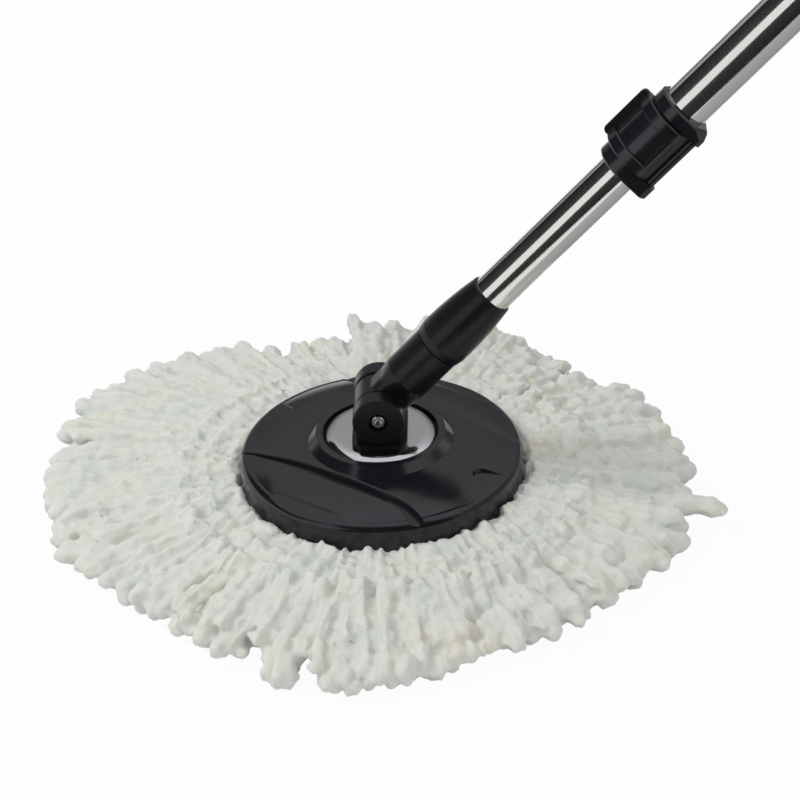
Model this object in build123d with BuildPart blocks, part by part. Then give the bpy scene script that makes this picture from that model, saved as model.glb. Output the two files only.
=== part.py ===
from build123d import *
import math
import os

os.makedirs("parts", exist_ok=True)

# Hand-press spin mop: a round head with a ring of strands, a hinge, and a handle in two lengths of tube.
# A twisted bar in the upper tube drives a nut in the lower tube, so pressing the handle spins the head.
# Sizes are millimetres. The origin is on the floor under the middle of the head and +Z is up.
# The hinge bolt lies along Y, and the handle leans towards +X.

# Clearances
running_fit = 0.06
seat_fit = 0.05
body_gap = 0.4

# Head plate
plate_radius = 80.0
plate_draft = 2.2
plate_lift = 26.6
plate_wall = 2.4
skirt_height = 13.4
dome_rise = 9.5
dome_bow = 1.6
shoulder_rise = 3.4
shoulder_width = 4.8
shoulder_bow = 0.9
hub_foot_radius = 40.2
hub_top_radius = 35.8
hub_height = 4.4
hub_recess = 3.0
hub_floor = 2.6

# Swirl on the head plate: two grooves, a shallow lens at the rim beside each, and two finger scoops.
# A groove runs past the hub, hooks out to the rim at its start and flares at its end. Its hub side is steep.
swirl_angle = -34.0
groove_clear = 1.6
groove_start = 68.0
groove_hook = 4.8
groove_hook_run = 4.5
groove_hook_bend = 14.0
groove_end = 60.5
groove_flare = 4.1
groove_flare_run = 16.5
groove_flare_bend = 60.0
groove_depth = 2.3
groove_tip_depth = 0.8
groove_run_in = 24.0
groove_wall = 0.9
groove_slope = 9.0
groove_widening = 4.0
groove_steps = 12
groove_overcut = 1.5
lens_line = 67.0
lens_step = 1.5
lens_dip = 12.0
lens_half_length = 23.0
lens_corner = 8.0
scoop_angle = -32.0
scoop_start = 54.0
scoop_depth = 2.2
scoop_dip = 9.0
scoop_half_mouth = 12.0
scoop_corner = 5.0
swirl_draft = 25.0
dome_wall = 4.5

# Underside of the plate
spigot_radius = 62.0
spigot_wall = 2.2
rib_count = 8
rib_thickness = 1.6
rib_depth = 5.0
rib_clearance = 1.0

# Chrome dish in the hub
dish_radius = 31.6
dish_rim = 0.4
dish_seat_radius = 24.5
dish_crown = 0.8

# Hinge fork, bolt and nut
pin_above_hub = 17.8
fork_width = 41.2
ear_thickness = 10.3
ear_radius = 14.0
ear_edge = 1.0
ear_proud = 1.8
neck_width = 24.0
foot_width = 30.0
foot_length = 43.0
foot_corner = 6.0
bolt_radius = 3.0
bolt_head_radius = 3.8
bolt_head_height = 3.0
bolt_socket_radius = 1.9
bolt_socket_depth = 2.2
bolt_edge = 0.5
bolt_recess_radius = 5.6
bolt_recess_depth = 3.6
nut_radius = 5.8
nut_height = 4.6
nut_recess_depth = 5.4
screw_radius = 1.7
screw_head_radius = 3.2
screw_head_height = 2.0
screw_grip = 6.0
screw_spacing = 16.0

# Refill: ring, backing and strands
ring_height = 6.0
backing_inner = 58.0
backing_height = 6.4
backing_gap = 0.3
strand_count = 100
strand_layers = 3
strand_gap = 0.9
root_radius = 68.0
root_pitch = 2.1
root_height = 1.7
crown_radius = 97.0
crown_low = 6.4
crown_pitch = 7.9
crown_height = 7.0
lie_radius = 128.0
lie_pitch = 8.5
lie_height = 7.9
tip_radius = 181.0
tip_taper = 9.0
tip_narrowing = 0.62
tip_reach = 13.0
tip_reach_angle = 155.0
tip_ruffle = 5.0
ruffle_step = 2.4
ruffle_layer_step = 1.7

# Hinge arm and sleeve, measured along the handle from the hinge bolt
lean_angle = 43.3
tongue_radius = 13.6
tongue_gap = 0.3
tongue_edge = 1.6
tongue_half_height = 11.8
tongue_corner = 6.0
neck_top = 15.0
arm_radius = 13.8
arm_round = 23.5
arm_length = 48.6
seam_width = 0.9
seam_depth = 1.4
spigot_length = 30.0
sleeve_radius = 15.0
sleeve_belly_radius = 14.4
sleeve_top_radius = 12.3
sleeve_length = 42.6
sleeve_swell = 4.5
sleeve_foot = 0.7
sleeve_lip = 0.7

# Tubes
lower_tube_radius = 11.0
upper_tube_radius = 12.5
tube_wall = 0.6
lower_tube_length = 390.0
upper_tube_length = 285.4
top_tube_length = 380.0

# Collar, bush and flip lever
collar_start = 191.6
collar_length = 47.8
collar_radius = 14.2
low_flange = 8.2
high_flange = 7.4
flange_radius = 15.2
flange_edge = 1.0
collar_lip = 1.8
collar_lip_gap = 0.4
bush_length = 17.0
bush_slot = 2.0
hinge_angle = -52.0
hinge_radius = 17.6
hinge_ear_radius = 4.0
ear_bevel_start = 15.6
ear_bevel_drop = 4.4
lever_pin_radius = 1.1
lever_pin_cover = 3.6
lever_barrel_radius = 2.5
lever_wrap = 150.0
lever_wall = 2.3
lever_band = 1.5
lever_band_width = 6.5
lever_band_edge = 0.5
lever_end_foot = 19.0
lever_end_angle = 28.0
lever_end_wrap = 6.0
thumb_reach = 3.6
thumb_thickness = 3.2
thumb_corner = 2.8

# Drive: stroke, twisted bar, nut, clutch and anchor
stroke = 200.0
bar_width = 8.0
bar_thickness = 2.4
bar_lead = 100.0
bar_gap = 0.35
cap_flange = 6.0
cap_spigot = 10.0
cap_bore = 6.0
nut_length = 14.0
nut_lift = 2.4
clutch_teeth = 12
clutch_tooth = 2.0
clutch_length = 18.0
clutch_radius_gap = 0.7
bumper_height = 12.0
bumper_gap = 0.6
anchor_hold = 22.0
anchor_flange = 1.6
anchor_pin_radius = 1.5
stud_radius = 8.0
stud_length = 22.0
insert_length = 30.0
stop_length = 11.0
stop_gap = 1.0
stop_radius_gap = 0.4
stop_floor = 2.0

# Grip and end cap
grip_length = 112.0
grip_radius = 16.2
grip_foot_radius = 17.2
grip_foot = 5.0
grip_overhang = 6.0
grip_grooves = 9
grip_groove_radius = 1.4
cap_plug = 24.0
loop_height = 30.0
loop_radius = 14.5
loop_thickness = 11.0
hang_hole_radius = 5.0

# Heights on the head, from the floor
crease_radius = plate_radius - plate_draft
shoulder_radius = crease_radius - shoulder_width
foot_z = plate_lift
crease_z = foot_z + skirt_height
shoulder_z = crease_z + shoulder_rise
hub_foot_z = crease_z + dome_rise
hub_top_z = hub_foot_z + hub_height
hub_floor_z = hub_top_z - hub_recess
under_hub_z = hub_floor_z - hub_floor
under_dome_z = hub_foot_z - dome_wall
under_edge_z = crease_z - plate_wall
under_edge_radius = crease_radius - plate_wall
recess_radius = dish_radius + body_gap
dish_seat_z = hub_top_z + dish_crown
pin_z = hub_top_z + pin_above_hub
slot_z = pin_z - tongue_radius - 2 * body_gap

# Stations along the handle, from the hinge bolt
seam_top = arm_length + seam_width
sleeve_top = seam_top + sleeve_length
lower_tube_top = seam_top + lower_tube_length
collar_top = collar_start + collar_length
bush_low = collar_start + collar_lip
bush_high = bush_low + bush_length
upper_tube_low = bush_high + body_gap
upper_tube_top = upper_tube_low + upper_tube_length
cap_top = lower_tube_top + cap_flange
cap_low = lower_tube_top - cap_spigot
drive_nut_top = cap_low - nut_lift
drive_nut_low = drive_nut_top - nut_length
clutch_top = drive_nut_low - body_gap
clutch_low = clutch_top - clutch_length
bumper_low = cap_top + bumper_gap
anchor_low = bumper_low + bumper_height
anchor_top = upper_tube_top + anchor_flange
stop_top = clutch_low - stroke - stop_gap
stop_low = stop_top - stop_length
bar_low = stop_low + stop_floor
bar_high = anchor_low + anchor_hold
top_tube_low = anchor_top + anchor_flange
top_tube_top = top_tube_low + top_tube_length
grip_top = top_tube_top + grip_overhang
grip_low = grip_top - grip_length

# Radii along the handle
lower_bore = lower_tube_radius - tube_wall
upper_bore = upper_tube_radius - tube_wall
bush_radius = upper_tube_radius + seat_fit
lever_inner = collar_radius + body_gap
lever_outer = lever_inner + lever_wall
lever_middle = lever_inner + lever_wall / 2
band_outer = lever_outer + lever_band
lever_low = collar_start + low_flange + body_gap
lever_high = collar_top - high_flange - body_gap

# Planes and axes of the handle: handle runs along the tubes, handle_section holds the tube axis upright
lean = math.radians(lean_angle)
hinge_point = Vector(0, 0, pin_z)
along = Vector(math.sin(lean), 0, math.cos(lean))
across = Vector(math.cos(lean), 0, -math.sin(lean))
handle = Plane(origin=hinge_point, x_dir=across, z_dir=along)
handle_section = Plane(origin=hinge_point, x_dir=across, z_dir=(0, -1, 0))
handle_axis = Axis(hinge_point, along)
swirl = Plane(
    origin=(0, 0, crease_z),
    x_dir=(math.cos(math.radians(swirl_angle)), math.sin(math.radians(swirl_angle)), 0),
    z_dir=(0, 0, 1),
)


def polar(radius, angle):
    """Point at a radius and an angle in degrees."""
    turn = math.radians(angle)
    return (radius * math.cos(turn), radius * math.sin(turn))


def handle_outward(angle):
    """Direction out from the handle axis, at an angle in degrees round it."""
    x, y = polar(1, angle)
    return handle.x_dir * x + handle.y_dir * y


def radial_plane(angle):
    """Upright plane through the Z axis, with its x axis pointing out at the angle in degrees."""
    turn = math.radians(angle)
    return Plane(
        origin=(0, 0, 0),
        x_dir=(math.cos(turn), math.sin(turn), 0),
        z_dir=(math.sin(turn), -math.cos(turn), 0),
    )


def dome_z(radius):
    """Height of the domed face of the head plate, between the hub and the rim."""
    if radius < shoulder_radius:
        share = (radius - hub_foot_radius) / (shoulder_radius - hub_foot_radius)
        return hub_foot_z + (shoulder_z - hub_foot_z) * share + 4 * dome_bow * share * (1 - share)
    share = min((radius - shoulder_radius) / shoulder_width, 1)
    return shoulder_z + (crease_z - shoulder_z) * share + 4 * shoulder_bow * share * (1 - share)


def dipped_floor(outward, radius, depth, dip):
    """Plane under the dome at a radius, falling outwards by the dip angle in degrees."""
    slope = math.radians(dip)
    upward = Vector(0, 0, 1)
    return Plane(
        origin=outward * radius + upward * (dome_z(radius) - depth),
        x_dir=outward * math.cos(slope) - upward * math.sin(slope),
        z_dir=outward * math.sin(slope) + upward * math.cos(slope),
    )


def handle_ring(inner, outer, low, high, mode=Mode.ADD):
    """Turn a plain ring or plug about the handle axis."""
    with BuildSketch(handle_section) as ring:
        with Locations(((inner + outer) / 2, (low + high) / 2)):
            Rectangle(outer - inner, high - low)
    revolve(ring.sketch, axis=handle_axis, mode=mode)


def twisted_bar(width, thickness, low, high, mode=Mode.ADD):
    """Sweep a flat bar along the handle axis, turned by one lead per turn from the foot of the bar."""
    start_turn = 360 * (low - bar_low) / bar_lead
    with BuildLine() as path:
        Line(hinge_point + along * low, hinge_point + along * high)
    with BuildLine() as guide:
        Helix(bar_lead, high - low, bar_width, hinge_point + along * low, along)
    with BuildSketch(handle.offset(low)) as section:
        Rectangle(width, thickness, rotation=start_turn)
    sweep(section.sketch, path=path.line, binormal=guide.edge(), mode=mode)


def sector(inner, outer, start, wrap):
    """Draw a part of a ring, from the start angle back by the wrap angle."""
    with BuildLine() as outline:
        CenterArc((0, 0), outer, start, -wrap)
        CenterArc((0, 0), inner, start, -wrap)
        for angle in (start, start - wrap):
            Line(polar(inner, angle), polar(outer, angle))
    make_face(outline.edges())


def ratchet_teeth(base, inner, outer, mode):
    """Saw teeth of the clutch round the handle axis, each a ramp from the inner to the outer radius."""
    half_turn = math.pi / clutch_teeth
    for tooth in range(clutch_teeth):
        outward = handle_outward(360 * tooth / clutch_teeth)
        ramps = []
        for radius in (inner, outer):
            half = radius * math.tan(half_turn)
            foot = hinge_point + along * base + outward * radius
            with BuildSketch(Plane(foot, x_dir=along.cross(outward), z_dir=outward)) as ramp:
                with BuildLine():
                    Polyline((-half, 0), (half, 0), (half, clutch_tooth), close=True)
                make_face()
            ramps.append(ramp.sketch)
        loft(ramps, ruled=True, mode=mode)


# Line of the swirl groove, seen from above
groove_line = hub_foot_radius + groove_clear
with BuildLine(swirl) as groove_path:
    FilletPolyline(
        (-groove_start, -groove_line - groove_hook),
        (-groove_start + groove_hook_run, -groove_line),
        (groove_end - groove_flare_run, -groove_line),
        (groove_end, -groove_line - groove_flare),
        radius=(groove_hook_bend, groove_flare_bend),
    )
groove_wire = groove_path.wires()[0]


def groove_section(share):
    """Lopsided V across the groove, at a share of its length, with its valley under the dome."""
    run = share * groove_wire.length
    depth = groove_tip_depth + (groove_depth - groove_tip_depth) * min(run / groove_run_in, 1)
    flare = max(run - groove_wire.length + groove_flare_run, 0) / groove_flare_run
    fullness = groove_overcut * depth / groove_depth
    point = groove_wire.position_at(share)
    foot = Vector(point.X, point.Y, 0)
    outer_side = Vector(0, 0, -1).cross(groove_wire.tangent_at(share))
    valley = foot + Vector(0, 0, dome_z(foot.length) - depth)
    with BuildSketch(
        Plane(valley, x_dir=outer_side, z_dir=outer_side.cross(Vector(0, 0, 1))), mode=Mode.PRIVATE
    ) as section:
        with BuildLine():
            Polyline(
                (0, 0),
                (fullness * groove_slope + flare * groove_widening, fullness * groove_depth),
                (-fullness * groove_wall, fullness * groove_depth),
                close=True,
            )
        make_face()
    return section.sketch


with BuildPart() as swirl_groove:
    loft([groove_section(step / groove_steps) for step in range(groove_steps + 1)])

# Head plate: domed disc with a drafted skirt and the hub ring, hollow below
with BuildPart() as head_plate:
    with BuildSketch(Plane.XZ):
        with BuildLine():
            Polyline(
                (0, hub_floor_z),
                (recess_radius, hub_floor_z),
                (recess_radius, hub_top_z),
                (hub_top_radius, hub_top_z),
                (hub_foot_radius, hub_foot_z),
            )
            ThreePointArc(
                (hub_foot_radius, hub_foot_z),
                ((hub_foot_radius + shoulder_radius) / 2, (hub_foot_z + shoulder_z) / 2 + dome_bow),
                (shoulder_radius, shoulder_z),
            )
            ThreePointArc(
                (shoulder_radius, shoulder_z),
                (
                    (shoulder_radius + crease_radius) / 2 + shoulder_bow / 2,
                    (shoulder_z + crease_z) / 2 + shoulder_bow,
                ),
                (crease_radius, crease_z),
            )
            Polyline(
                (crease_radius, crease_z),
                (plate_radius, foot_z),
                (plate_radius - plate_wall, foot_z),
                (under_edge_radius, under_edge_z),
                (hub_foot_radius, under_dome_z),
                (recess_radius, under_hub_z),
                (0, under_hub_z),
                (0, hub_floor_z),
            )
        make_face()
    revolve(axis=Axis.Z)
    for half_turn in (0, 180):
        add(swirl_groove.part.rotate(Axis.Z, half_turn), mode=Mode.SUBTRACT)
    # Lens at the rim, outside each groove
    for half_turn in (0, 180):
        lens_out = swirl.y_dir.rotate(Axis.Z, half_turn)
        with BuildSketch(dipped_floor(lens_out, lens_line, lens_step, lens_dip)):
            with BuildLine():
                FilletPolyline(
                    (2 * lens_corner, lens_half_length + lens_corner),
                    (0, lens_half_length),
                    (0, -lens_half_length),
                    (2 * lens_corner, -lens_half_length - lens_corner),
                    radius=lens_corner,
                )
                Line(
                    (2 * lens_corner, lens_half_length + lens_corner),
                    (2 * lens_corner, -lens_half_length - lens_corner),
                )
            make_face()
        extrude(amount=dome_rise, taper=-swirl_draft, mode=Mode.SUBTRACT)
    # Finger scoop at each end of the middle band
    for half_turn in (0, 180):
        scoop_out = Vector(1, 0, 0).rotate(Axis.Z, scoop_angle + half_turn)
        scoop_run = plate_radius - scoop_start
        with BuildSketch(dipped_floor(scoop_out, scoop_start, scoop_depth, scoop_dip)):
            with BuildLine():
                FilletPolyline(
                    (scoop_run, scoop_half_mouth),
                    (0, 0),
                    (scoop_run, -scoop_half_mouth),
                    radius=scoop_corner,
                )
                Line((scoop_run, scoop_half_mouth), (scoop_run, -scoop_half_mouth))
            make_face()
        extrude(amount=dome_rise, taper=-swirl_draft, mode=Mode.SUBTRACT)
    # Ring wall that holds the refill, with ribs to the hub
    with BuildSketch(Plane.XZ):
        with Locations((spigot_radius - spigot_wall / 2, (foot_z + under_dome_z) / 2)):
            Rectangle(spigot_wall, under_dome_z - foot_z - 2 * plate_wall)
    revolve(axis=Axis.Z)
    spigot_share = (spigot_radius - hub_foot_radius) / (under_edge_radius - hub_foot_radius)
    under_spigot_z = under_dome_z + (under_edge_z - under_dome_z) * spigot_share
    screw_reach = math.hypot(screw_spacing, fork_width - ear_thickness) / 2
    rib_start = screw_reach + screw_head_radius + rib_clearance
    for rib in range(rib_count):
        with BuildSketch(radial_plane(360 * (rib + 0.5) / rib_count)):
            with BuildLine():
                Polyline(
                    (rib_start, under_hub_z + hub_floor / 2),
                    (recess_radius, under_hub_z + hub_floor / 2),
                    (hub_foot_radius, under_dome_z + plate_wall / 2),
                    (spigot_radius - spigot_wall / 2, under_spigot_z + plate_wall / 2),
                    (spigot_radius - spigot_wall / 2, under_spigot_z - rib_depth),
                    (rib_start, under_hub_z - rib_depth),
                    close=True,
                )
            make_face()
        extrude(amount=rib_thickness / 2, both=True)
    with BuildSketch(Plane.XY.offset(under_hub_z)):
        with GridLocations(screw_spacing, fork_width - ear_thickness, 2, 2):
            Circle(screw_radius + 3 * seat_fit)
    extrude(amount=hub_floor, mode=Mode.SUBTRACT)
head_plate.part.label = "head_plate"
export_step(head_plate.part, "parts/head_plate.step")

# Chrome dish: low crown with a flat seat for the fork
with BuildPart() as trim_dish:
    with BuildSketch(Plane.XZ):
        with BuildLine():
            dish_edge_z = hub_top_z - dish_rim
            Polyline((0, hub_floor_z), (0, dish_seat_z), (dish_seat_radius, dish_seat_z))
            ThreePointArc(
                (dish_seat_radius, dish_seat_z),
                ((dish_seat_radius + dish_radius) / 2, (dish_seat_z + dish_edge_z) / 2 + dish_crown / 4),
                (dish_radius, dish_edge_z),
            )
            Polyline((dish_radius, dish_edge_z), (dish_radius, hub_floor_z), (0, hub_floor_z))
        make_face()
    revolve(axis=Axis.Z)
    with BuildSketch(Plane.XY.offset(hub_floor_z)):
        with GridLocations(screw_spacing, fork_width - ear_thickness, 2, 2):
            Circle(screw_radius + 3 * seat_fit)
    extrude(amount=dish_seat_z - hub_floor_z, mode=Mode.SUBTRACT)
trim_dish.part.label = "trim_dish"
export_step(trim_dish.part, "parts/trim_dish.step")

# Hinge fork: two round ears on a foot
with BuildPart() as hinge_fork:
    with BuildSketch(Plane.XY.offset(dish_seat_z)):
        RectangleRounded(foot_width, foot_length, foot_corner)
    extrude(amount=slot_z - dish_seat_z)
    for side in (1, -1):
        with BuildPart(mode=Mode.PRIVATE) as ear:
            with BuildSketch(Plane.XZ.offset(side * fork_width / 2)):
                with Locations((0, pin_z)):
                    Circle(ear_radius)
            extrude(amount=-side * ear_thickness)
            fillet(ear.edges().filter_by(GeomType.CIRCLE), ear_edge)
        add(ear.part)
        with BuildSketch(Plane.XZ.offset(side * (fork_width / 2 - ear_proud))):
            with Locations((0, (dish_seat_z + pin_z) / 2)):
                Rectangle(neck_width, pin_z - dish_seat_z)
        extrude(amount=-side * (ear_thickness - ear_proud))
    with BuildSketch(Plane.XZ.offset(fork_width / 2)):
        with Locations((0, pin_z)):
            Circle(bolt_radius + seat_fit)
    extrude(amount=-fork_width, mode=Mode.SUBTRACT)
    with BuildSketch(Plane.XZ.offset(fork_width / 2)):
        with Locations((0, pin_z)):
            Circle(bolt_recess_radius)
    extrude(amount=-bolt_recess_depth, mode=Mode.SUBTRACT)
    with BuildSketch(Plane.XZ.offset(-fork_width / 2)):
        with Locations((0, pin_z)):
            RegularPolygon(nut_radius + seat_fit, 6)
    extrude(amount=nut_recess_depth, mode=Mode.SUBTRACT)
    with BuildSketch(Plane.XY.offset(dish_seat_z)):
        with GridLocations(screw_spacing, fork_width - ear_thickness, 2, 2):
            Circle(screw_radius + seat_fit)
    extrude(amount=screw_grip + body_gap, mode=Mode.SUBTRACT)
hinge_fork.part.label = "hinge_fork"
export_step(hinge_fork.part, "parts/hinge_fork.step")

# Four screws from below, through the hub floor and the dish into the fork
with BuildPart() as fork_screws:
    with BuildSketch(Plane.XY.offset(under_hub_z)):
        with GridLocations(screw_spacing, fork_width - ear_thickness, 2, 2):
            Circle(screw_head_radius)
    extrude(amount=-screw_head_height)
    with BuildSketch(Plane.XY.offset(under_hub_z)):
        with GridLocations(screw_spacing, fork_width - ear_thickness, 2, 2):
            Circle(screw_radius)
    extrude(amount=dish_seat_z - under_hub_z + screw_grip)
fork_screws.part.label = "fork_screws"
export_step(fork_screws.part, "parts/fork_screws.step")

# Hinge bolt with a hexagon socket, and its nut
bolt_seat = fork_width / 2 - bolt_recess_depth
nut_seat = fork_width / 2 - nut_recess_depth
with BuildPart() as pivot_bolt:
    with BuildSketch(Plane.XZ.offset(bolt_seat)):
        with Locations((0, pin_z)):
            Circle(bolt_head_radius)
    extrude(amount=bolt_head_height)
    with BuildSketch(Plane.XZ.offset(bolt_seat)):
        with Locations((0, pin_z)):
            Circle(bolt_radius)
    extrude(amount=-bolt_seat - nut_seat - nut_height)
    with BuildSketch(Plane.XZ.offset(bolt_seat + bolt_head_height)):
        with Locations((0, pin_z)):
            RegularPolygon(bolt_socket_radius, 6)
    extrude(amount=-bolt_socket_depth, mode=Mode.SUBTRACT)
    chamfer(pivot_bolt.edges().filter_by(GeomType.CIRCLE).sort_by(Axis.Y)[0], bolt_edge)
pivot_bolt.part.label = "pivot_bolt"
export_step(pivot_bolt.part, "parts/pivot_bolt.step")

with BuildPart() as pivot_nut:
    with BuildSketch(Plane.XZ.offset(-nut_seat)):
        with Locations((0, pin_z)):
            RegularPolygon(nut_radius, 6)
            Circle(bolt_radius + seat_fit, mode=Mode.SUBTRACT)
    extrude(amount=-nut_height)
pivot_nut.part.label = "pivot_nut"
export_step(pivot_nut.part, "parts/pivot_nut.step")

# Refill ring between the skirt and the ring wall
backing_top = foot_z - body_gap / 2
ring_inner = spigot_radius + body_gap
ring_outer = plate_radius - plate_wall - plate_draft * ring_height / skirt_height - body_gap
with BuildPart() as refill_ring:
    with BuildSketch(Plane.XY.offset(backing_top)):
        Circle(ring_outer)
        Circle(ring_inner, mode=Mode.SUBTRACT)
    extrude(amount=ring_height)
refill_ring.part.label = "refill_ring"
export_step(refill_ring.part, "parts/refill_ring.step")

# Strands: layers of four-sided tapered strands, fused to a quarter of the backing
backing_low = backing_top - backing_height


def strand_section(angle, radius, low, height, spread):
    """Upright oblong across a strand, centred at the angle and radius."""
    turn = math.radians(angle)
    width = (2 * math.pi * radius / strand_count - strand_gap) * spread
    section_plane = Plane(
        origin=(radius * math.cos(turn), radius * math.sin(turn), low + height / 2),
        x_dir=(-math.sin(turn), math.cos(turn), 0),
        z_dir=(math.cos(turn), math.sin(turn), 0),
    )
    with BuildSketch(section_plane, mode=Mode.PRIVATE) as section:
        Rectangle(width, height)
    return section.sketch


def strand(angle, layer, number):
    """One strand: out of the backing, over the crown, down to the pile and out to its tip."""
    lean_out = tip_reach * math.cos(math.radians(angle - tip_reach_angle))
    ruffle = tip_ruffle * math.sin(ruffle_step * number + ruffle_layer_step * layer)
    tip = tip_radius + lean_out + ruffle
    pile_low = layer * lie_pitch
    sections = [
        strand_section(angle, root_radius, backing_low + body_gap / 2 + layer * root_pitch, root_height, 1),
        strand_section(angle, plate_radius, backing_low + body_gap / 2 + layer * root_pitch, root_height, 1),
        strand_section(angle, crown_radius, crown_low + layer * crown_pitch, crown_height, 1),
        strand_section(angle, lie_radius, pile_low, lie_height, 1),
        strand_section(angle, tip - tip_taper, pile_low, lie_height, 1),
        strand_section(
            angle,
            tip,
            pile_low + lie_height * (1 - tip_narrowing) / 2,
            lie_height * tip_narrowing,
            tip_narrowing,
        ),
    ]
    return loft(sections, ruled=True, mode=Mode.PRIVATE)


quarter_strands = strand_count // 4
for quarter, quarter_name in enumerate(("right", "back", "left", "front")):
    first_angle = 90 * quarter - 45
    with BuildPart() as strands:
        with BuildSketch(Plane.XY.offset(backing_low)):
            trim = math.degrees(backing_gap / backing_inner)
            sector(backing_inner, ring_outer, first_angle + 90 - trim, 90 - 2 * trim)
        extrude(amount=backing_height)
        first_strand = quarter * quarter_strands
        add(
            [
                strand(first_angle + (number + 0.5) * 360 / strand_count, layer, first_strand + number)
                for layer in range(strand_layers)
                for number in range(quarter_strands)
            ]
        )
    strands.part.label = f"strands_{quarter_name}"
    export_step(strands.part, f"parts/strands_{quarter_name}.step")

# Hinge arm: tongue between the ears, arm that grows round, and the spigot inside the lower tube
tongue_width = fork_width - 2 * ear_thickness - 2 * tongue_gap
with BuildPart() as hinge_arm:
    with BuildSketch(handle_section):
        Circle(tongue_radius)
    extrude(amount=tongue_width / 2, both=True)
    chamfer(hinge_arm.edges().filter_by(GeomType.CIRCLE), tongue_edge)
    with BuildSketch(handle):
        RectangleRounded(2 * tongue_half_height, tongue_width, tongue_corner)
    extrude(amount=neck_top)
    with BuildSketch(handle.offset(neck_top)):
        RectangleRounded(2 * tongue_half_height, tongue_width, tongue_corner)
    with BuildSketch(handle.offset(arm_round)):
        Circle(arm_radius)
    loft()
    handle_ring(0, arm_radius, arm_round, arm_length)
    handle_ring(0, arm_radius - seam_depth, arm_length, seam_top)
    handle_ring(0, lower_bore - seat_fit, seam_top, seam_top + spigot_length)
    with BuildSketch(handle_section):
        Circle(bolt_radius + running_fit)
    extrude(amount=fork_width, both=True, mode=Mode.SUBTRACT)
hinge_arm.part.label = "hinge_arm"
export_step(hinge_arm.part, "parts/hinge_arm.step")

# Sleeve round the foot of the lower tube, with a belly that draws in to a rounded lip
sleeve_bore = lower_tube_radius + seat_fit
lip_set_back = sleeve_lip * (1 - math.cos(math.pi / 4))
with BuildPart() as socket_sleeve:
    with BuildSketch(handle_section):
        with BuildLine():
            Polyline(
                (sleeve_radius - sleeve_foot, seam_top),
                (sleeve_bore, seam_top),
                (sleeve_bore, sleeve_top),
                (sleeve_top_radius - sleeve_lip, sleeve_top),
            )
            ThreePointArc(
                (sleeve_top_radius - sleeve_lip, sleeve_top),
                (sleeve_top_radius - lip_set_back, sleeve_top - lip_set_back),
                (sleeve_top_radius, sleeve_top - sleeve_lip),
            )
            ThreePointArc(
                (sleeve_top_radius, sleeve_top - sleeve_lip),
                (sleeve_belly_radius, (seam_top + sleeve_swell + sleeve_top - sleeve_lip) / 2),
                (sleeve_radius, seam_top + sleeve_swell),
            )
            Line((sleeve_radius, seam_top + sleeve_swell), (sleeve_radius - sleeve_foot, seam_top))
        make_face()
    revolve(axis=handle_axis)
socket_sleeve.part.label = "socket_sleeve"
export_step(socket_sleeve.part, "parts/socket_sleeve.step")

# Lower tube
with BuildPart() as lower_tube:
    handle_ring(lower_bore, lower_tube_radius, seam_top, lower_tube_top)
lower_tube.part.label = "lower_tube"
export_step(lower_tube.part, "parts/lower_tube.step")

# Clutch seat, pressed into the lower tube, with saw teeth on its top face
with BuildPart() as clutch_seat:
    seat_radius = lower_bore - seat_fit
    handle_ring(cap_bore, seat_radius, clutch_low, clutch_top)
    ratchet_teeth(clutch_top, cap_bore, seat_radius * math.cos(math.pi / clutch_teeth), Mode.ADD)
clutch_seat.part.label = "clutch_seat"
export_step(clutch_seat.part, "parts/clutch_seat.step")

# Drive nut: saw teeth below, and a slot that follows the twist of the bar
with BuildPart() as drive_nut:
    handle_ring(0, lower_bore - clutch_radius_gap, drive_nut_low, drive_nut_top)
    ratchet_teeth(drive_nut_low, seat_fit, lower_bore, Mode.SUBTRACT)
    twisted_bar(
        bar_width + 2 * bar_gap,
        bar_thickness + 2 * bar_gap,
        drive_nut_low - clutch_tooth,
        drive_nut_top + clutch_tooth,
        Mode.SUBTRACT,
    )
drive_nut.part.label = "drive_nut"
export_step(drive_nut.part, "parts/drive_nut.step")

# Guide cap: closes the lower tube over the nut and runs inside the upper tube
with BuildPart() as guide_cap:
    handle_ring(cap_bore, upper_bore - running_fit, lower_tube_top, cap_top)
    handle_ring(cap_bore, lower_bore - seat_fit, cap_low, lower_tube_top)
guide_cap.part.label = "guide_cap"
export_step(guide_cap.part, "parts/guide_cap.step")

# Split bush between the collar and the lower tube
with BuildPart() as collar_bush:
    handle_ring(lower_tube_radius + running_fit, bush_radius, bush_low, bush_high)
    with BuildSketch(handle.offset(bush_low)):
        with Locations((0, bush_radius)):
            Rectangle(bush_slot, bush_radius)
    extrude(amount=bush_length, mode=Mode.SUBTRACT)
collar_bush.part.label = "collar_bush"
export_step(collar_bush.part, "parts/collar_bush.step")

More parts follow.
